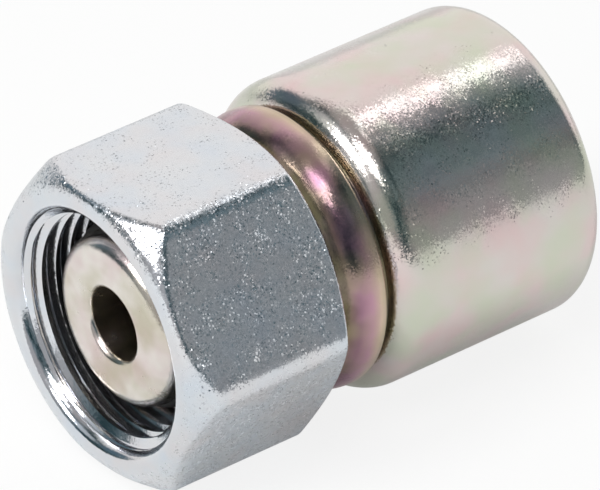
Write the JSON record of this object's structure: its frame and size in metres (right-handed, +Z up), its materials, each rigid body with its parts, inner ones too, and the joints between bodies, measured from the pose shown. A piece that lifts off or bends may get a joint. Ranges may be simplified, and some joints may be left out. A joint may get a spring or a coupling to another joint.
{
  "type": "crimp hose fitting",
  "caption": "Uncrimped hydraulic hose fitting: a hexagon swivel nut over a cone-nosed insert, with a domed collar and a plain round crimp ferrule behind it.",
  "frame": {"origin": "centre of the nose's flat end face, on the axis, level with the start of the flow bore", "axes": "X runs along the axis from the nose to the hose end; +Z is up, square to the nut's top flat; the nut's corners point along +Y and -Y"},
  "size_m": [0.0449, 0.0312, 0.0286],
  "materials": {
    "nut_plating": "bright zinc with a pale blue passivation, satin flats",
    "insert_plating": "turned and zinc plated, with a warm gold-brown tint",
    "ferrule_plating": "bright zinc with faint pink and green tints",
    "wire_steel": "plain drawn spring wire",
    "seal_rubber": "matt black nitrile rubber"
  },
  "bodies": {
    "hose_end": {"insert": "insert_plating", "ferrule": "ferrule_plating", "seal_ring": "seal_rubber"},
    "nut": {"swivel_nut": "nut_plating", "retaining_wire": "wire_steel"}
  },
  "joints": [
    {"name": "nut_spin", "type": "hinge", "parent": "hose_end", "child": "nut", "pos_m": [0.0129, 0, 0], "axis": [1, 0, 0], "continuous": true}
  ]
}
